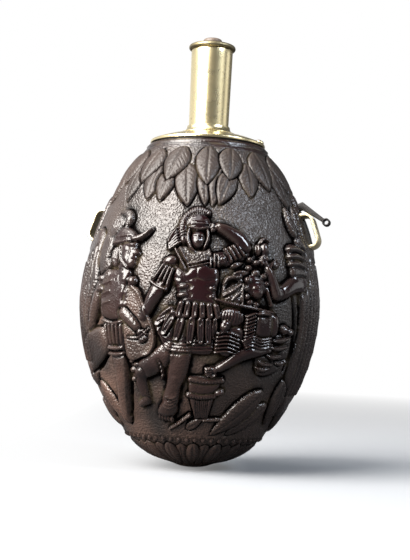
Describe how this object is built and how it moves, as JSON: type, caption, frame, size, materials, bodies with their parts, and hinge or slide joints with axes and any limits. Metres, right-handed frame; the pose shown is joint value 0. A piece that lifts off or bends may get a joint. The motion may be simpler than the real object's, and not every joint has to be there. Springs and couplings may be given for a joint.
{
  "type": "coconut powder flask",
  "caption": "Egg-shaped powder flask of carved coconut shell with a domed brass cap, tall brass spout, pull-out stopper, brass strap loops and an iron cord hook.",
  "frame": {"origin": "bottom pole of the nut, on the axis of the flask, where the hand or stand that holds it up meets it", "axes": "+Z along the axis of the flask towards the mouth of the spout, +X towards the strap loop that has the iron hook above it, -Y towards the front of the carving"},
  "size_m": [0.0825, 0.08, 0.1442],
  "materials": {
    "coconut_shell": "carved, oiled and rubbed dark, matt stippled ground",
    "brass": "spun and soldered sheet, polished and handled",
    "iron": "forged strip, dark and lightly rusted",
    "stopper_wood": "turned, worn by handling",
    "pitch": "set pitch"
  },
  "bodies": {
    "flask": {"coconut_shell": "coconut_shell", "neck_cap": "brass", "cap_bedding": "pitch", "cap_tack_left": "brass", "cap_tack_right": "brass", "spout_tube": "brass", "spout_flange": "brass", "foot_ring": "brass", "mouth_ring": "brass", "strap_loop_left": "brass", "strap_loop_right": "brass", "rove_left_upper": "brass", "rove_left_lower": "brass", "rove_right_upper": "brass", "rove_right_lower": "brass", "cord_hook": "iron"},
    "stopper": {"stopper": "stopper_wood"}
  },
  "joints": [
    {"name": "stopper_pull", "type": "slide", "parent": "flask", "child": "stopper", "axis": [0, 0, 1], "range_m": [0, 0.03]}
  ]
}
